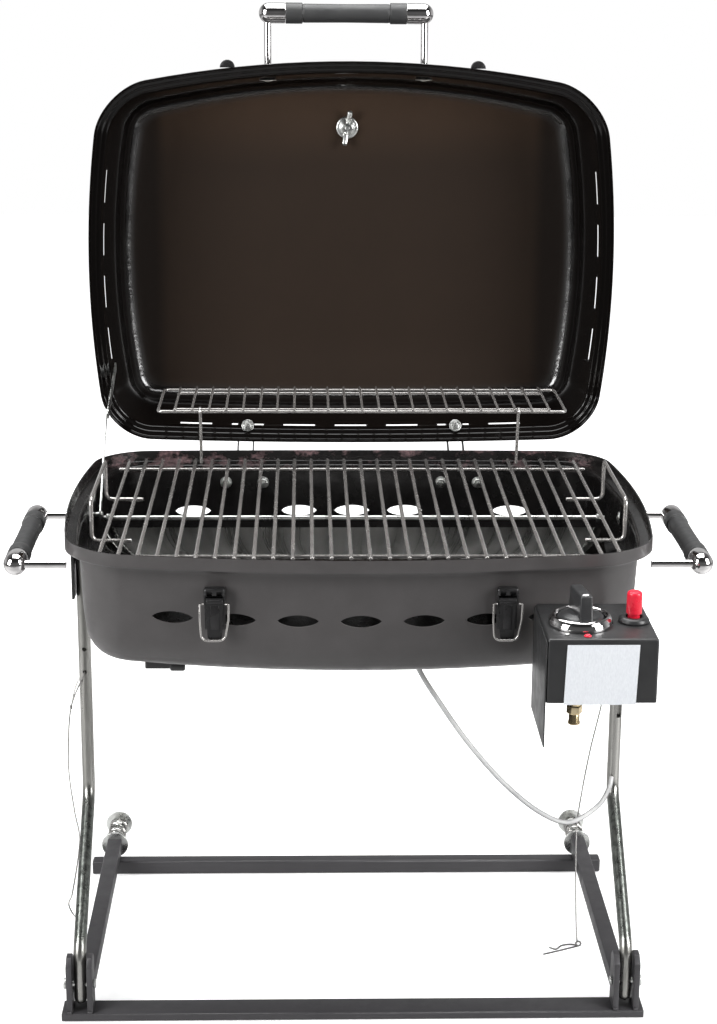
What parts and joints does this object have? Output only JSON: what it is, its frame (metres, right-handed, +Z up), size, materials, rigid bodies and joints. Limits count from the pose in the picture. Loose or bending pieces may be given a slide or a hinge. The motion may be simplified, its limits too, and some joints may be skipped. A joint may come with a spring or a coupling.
{
  "type": "folding camp grill",
  "caption": "Enamelled gas camp grill: bowed rectangular firebox and hinged lid with wire grates, carried on a folding tube stand.",
  "frame": {"origin": "middle of the front rail's underside, on the ground", "axes": "+X to the grill's right as seen by the cook in front of it, +Y to the back, +Z up"},
  "size_m": [0.6208, 0.6609, 0.9644],
  "materials": {
    "front_rail_finish": "dark grey satin paint",
    "rear_bar_finish": "dark grey satin paint",
    "left_side_bar_finish": "dark grey satin paint",
    "right_side_bar_finish": "dark grey satin paint",
    "left_clevis_outer_finish": "dark grey satin paint",
    "right_clevis_outer_finish": "dark grey satin paint",
    "left_clevis_inner_finish": "dark grey satin paint",
    "right_clevis_inner_finish": "dark grey satin paint",
    "left_leg_pin_finish": "bright zinc plate",
    "right_leg_pin_finish": "bright zinc plate",
    "left_plunger_spring_finish": "bright zinc plate",
    "right_plunger_spring_finish": "bright zinc plate",
    "left_plunger_finish": "bright zinc plate",
    "right_plunger_finish": "bright zinc plate",
    "left_leg_finish": "bright zinc plate",
    "right_leg_finish": "bright zinc plate",
    "firebox_finish": "dark porcelain enamel, satin to glossy",
    "cooking_grate_finish": "bright chrome or nickel plate",
    "heat_diffuser_finish": "smooth stainless sheet",
    "burner_finish": "smooth stainless sheet",
    "support_rod_finish": "bright zinc plate",
    "control_box_finish": "satin black paint",
    "wind_shield_finish": "satin black paint",
    "gas_valve_finish": "machined brass",
    "gas_inlet_finish": "machined brass",
    "knob_bezel_finish": "bright chrome or nickel plate",
    "igniter_collar_finish": "matte black heat-resistant plastic",
    "igniter_electrode_finish": null,
    "bottom_bracket_finish": "satin black paint",
    "left_leg_bracket_finish": "satin black paint",
    "right_leg_bracket_finish": "satin black paint",
    "left_handle_frame_finish": "bright chrome or nickel plate",
    "right_handle_frame_finish": "bright chrome or nickel plate",
    "left_handle_grip_finish": "matte black heat-resistant plastic",
    "right_handle_grip_finish": "matte black heat-resistant plastic",
    "left_latch_base_finish": "satin black paint",
    "right_latch_base_finish": "satin black paint",
    "left_hinge_lower_finish": "satin black paint",
    "right_hinge_lower_finish": "satin black paint",
    "control_knob_finish": "matte black heat-resistant plastic",
    "igniter_button_finish": "red moulded plastic",
    "left_latch_lever_finish": "satin black paint",
    "right_latch_lever_finish": "satin black paint",
    "left_latch_bail_finish": "bright chrome or nickel plate",
    "right_latch_bail_finish": "bright chrome or nickel plate",
    "lid_shell_finish": "dark porcelain enamel, satin to glossy",
    "lid_handle_frame_finish": "bright chrome or nickel plate",
    "lid_handle_grip_finish": "matte black heat-resistant plastic",
    "thermometer_finish": "bright chrome or nickel plate",
    "thermometer_wing_nut_finish": "bright zinc plate",
    "left_hinge_upper_finish": "satin black paint",
    "right_hinge_upper_finish": "satin black paint",
    "left_latch_catch_finish": "satin black paint",
    "right_latch_catch_finish": "satin black paint",
    "warming_rack_finish": "bright chrome or nickel plate",
    "left_rack_leg_finish": "bright chrome or nickel plate",
    "right_rack_leg_finish": "bright chrome or nickel plate",
    "lid_stay_lower_finish": "bright zinc plate",
    "lid_stay_upper_finish": "bright zinc plate"
  },
  "bodies": {
    "stand_base": {"front_rail": "front_rail_finish", "rear_bar": "rear_bar_finish", "left_side_bar": "left_side_bar_finish", "right_side_bar": "right_side_bar_finish", "left_clevis_outer": "left_clevis_outer_finish", "right_clevis_outer": "right_clevis_outer_finish", "left_clevis_inner": "left_clevis_inner_finish", "right_clevis_inner": "right_clevis_inner_finish", "left_leg_pin": "left_leg_pin_finish", "right_leg_pin": "right_leg_pin_finish", "left_plunger_spring": "left_plunger_spring_finish", "right_plunger_spring": "right_plunger_spring_finish"},
    "left_plunger_bolt": {"left_plunger": "left_plunger_finish"},
    "right_plunger_bolt": {"right_plunger": "right_plunger_finish"},
    "stand_legs": {"left_leg": "left_leg_finish", "right_leg": "right_leg_finish"},
    "firebox_body": {"firebox": "firebox_finish", "cooking_grate": "cooking_grate_finish", "heat_diffuser": "heat_diffuser_finish", "burner": "burner_finish", "support_rod": "support_rod_finish", "control_box": "control_box_finish", "wind_shield": "wind_shield_finish", "gas_valve": "gas_valve_finish", "gas_inlet": "gas_inlet_finish", "knob_bezel": "knob_bezel_finish", "igniter_collar": "igniter_collar_finish", "igniter_electrode": "igniter_electrode_finish", "bottom_bracket": "bottom_bracket_finish", "left_leg_bracket": "left_leg_bracket_finish", "right_leg_bracket": "right_leg_bracket_finish", "left_handle_frame": "left_handle_frame_finish", "right_handle_frame": "right_handle_frame_finish", "left_handle_grip": "left_handle_grip_finish", "right_handle_grip": "right_handle_grip_finish", "left_latch_base": "left_latch_base_finish", "right_latch_base": "right_latch_base_finish", "left_hinge_lower": "left_hinge_lower_finish", "right_hinge_lower": "right_hinge_lower_finish"},
    "control_knob_body": {"control_knob": "control_knob_finish"},
    "igniter_button_body": {"igniter_button": "igniter_button_finish"},
    "left_latch_lever_body": {"left_latch_lever": "left_latch_lever_finish"},
    "right_latch_lever_body": {"right_latch_lever": "right_latch_lever_finish"},
    "left_latch_bail_body": {"left_latch_bail": "left_latch_bail_finish"},
    "right_latch_bail_body": {"right_latch_bail": "right_latch_bail_finish"},
    "lid": {"lid_shell": "lid_shell_finish", "lid_handle_frame": "lid_handle_frame_finish", "lid_handle_grip": "lid_handle_grip_finish", "thermometer": "thermometer_finish", "thermometer_wing_nut": "thermometer_wing_nut_finish", "left_hinge_upper": "left_hinge_upper_finish", "right_hinge_upper": "right_hinge_upper_finish", "left_latch_catch": "left_latch_catch_finish", "right_latch_catch": "right_latch_catch_finish"},
    "rack": {"warming_rack": "warming_rack_finish"},
    "rack_legs": {"left_rack_leg": "left_rack_leg_finish", "right_rack_leg": "right_rack_leg_finish"},
    "stay_lower": {"lid_stay_lower": "lid_stay_lower_finish"},
    "stay_upper": {"lid_stay_upper": "lid_stay_upper_finish"}
  },
  "joints": [
    {"name": "stand_fold", "type": "hinge", "parent": "stand_base", "child": "stand_legs", "pos_m": [0, 0, 0.034], "axis": [-1, 0, 0], "range_deg": [0, 45]},
    {"name": "firebox_level", "type": "hinge", "parent": "stand_legs", "child": "firebox_body", "pos_m": [0, 0.128, 0.43], "axis": [-1, 0, 0], "range_deg": [-45, 0]},
    {"name": "lid_hinge", "type": "hinge", "parent": "firebox_body", "child": "lid", "pos_m": [0, 0.2252, 0.5016], "axis": [1, 0, 0], "range_deg": [0, 90]},
    {"name": "rack_level", "type": "hinge", "parent": "lid", "child": "rack", "pos_m": [0, 0.255, 0.578], "axis": [1, 0, 0], "range_deg": [-90, 0]},
    {"name": "rack_leg_swing", "type": "hinge", "parent": "rack", "child": "rack_legs", "pos_m": [0, 0.155, 0.5756], "axis": [-1, 0, 0], "range_deg": [0, 101]},
    {"name": "stay_lower_turn", "type": "hinge", "parent": "firebox_body", "child": "stay_lower", "pos_m": [-0.2452, 0.085, 0.49], "axis": [1, 0, 0], "range_deg": [0, 97.5]},
    {"name": "stay_upper_turn", "type": "hinge", "parent": "lid", "child": "stay_upper", "pos_m": [-0.2434, 0.26, 0.598], "axis": [1, 0, 0], "range_deg": [-120.2, 0]},
    {"name": "knob_turn", "type": "hinge", "parent": "firebox_body", "child": "control_knob_body", "pos_m": [0.1805, -0.217, 0.481], "axis": [0, 0, 1], "range_deg": [0, 180]},
    {"name": "igniter_press", "type": "slide", "parent": "firebox_body", "child": "igniter_button_body", "axis": [0, 0, -1], "range_m": [0, 0.006], "stiffness_N_per_m": 400},
    {"name": "left_latch_swing", "type": "hinge", "parent": "firebox_body", "child": "left_latch_lever_body", "pos_m": [-0.1246, -0.17027, 0.485], "axis": [-1, 0, 0], "range_deg": [0, 80]},
    {"name": "left_bail_swing", "type": "hinge", "parent": "left_latch_lever_body", "child": "left_latch_bail_body", "pos_m": [-0.1246, -0.17427, 0.4838], "axis": [-1, 0, 0], "range_deg": [0, 80]},
    {"name": "right_latch_swing", "type": "hinge", "parent": "firebox_body", "child": "right_latch_lever_body", "pos_m": [0.1246, -0.17027, 0.485], "axis": [-1, 0, 0], "range_deg": [0, 80]},
    {"name": "right_bail_swing", "type": "hinge", "parent": "right_latch_lever_body", "child": "right_latch_bail_body", "pos_m": [0.1246, -0.17427, 0.4838], "axis": [-1, 0, 0], "range_deg": [0, 80]},
    {"name": "left_plunger_pull", "type": "slide", "parent": "stand_base", "child": "left_plunger_bolt", "axis": [0, -1, 0], "range_m": [0, 0.01], "stiffness_N_per_m": 600, "deforming": ["left_plunger_spring"]},
    {"name": "right_plunger_pull", "type": "slide", "parent": "stand_base", "child": "right_plunger_bolt", "axis": [0, -1, 0], "range_m": [0, 0.01], "stiffness_N_per_m": 600, "deforming": ["right_plunger_spring"]}
  ],
  "couplings": [
    {"joint": "firebox_level", "follows": "stand_fold", "ratio": -1},
    {"joint": "rack_level", "follows": "lid_hinge", "ratio": -1},
    {"joint": "rack_leg_swing", "follows": "lid_hinge", "ratio": 1.12},
    {"joint": "stay_lower_turn", "follows": "lid_hinge", "ratio": 1.082},
    {"joint": "stay_upper_turn", "follows": "lid_hinge", "ratio": -1.334}
  ]
}
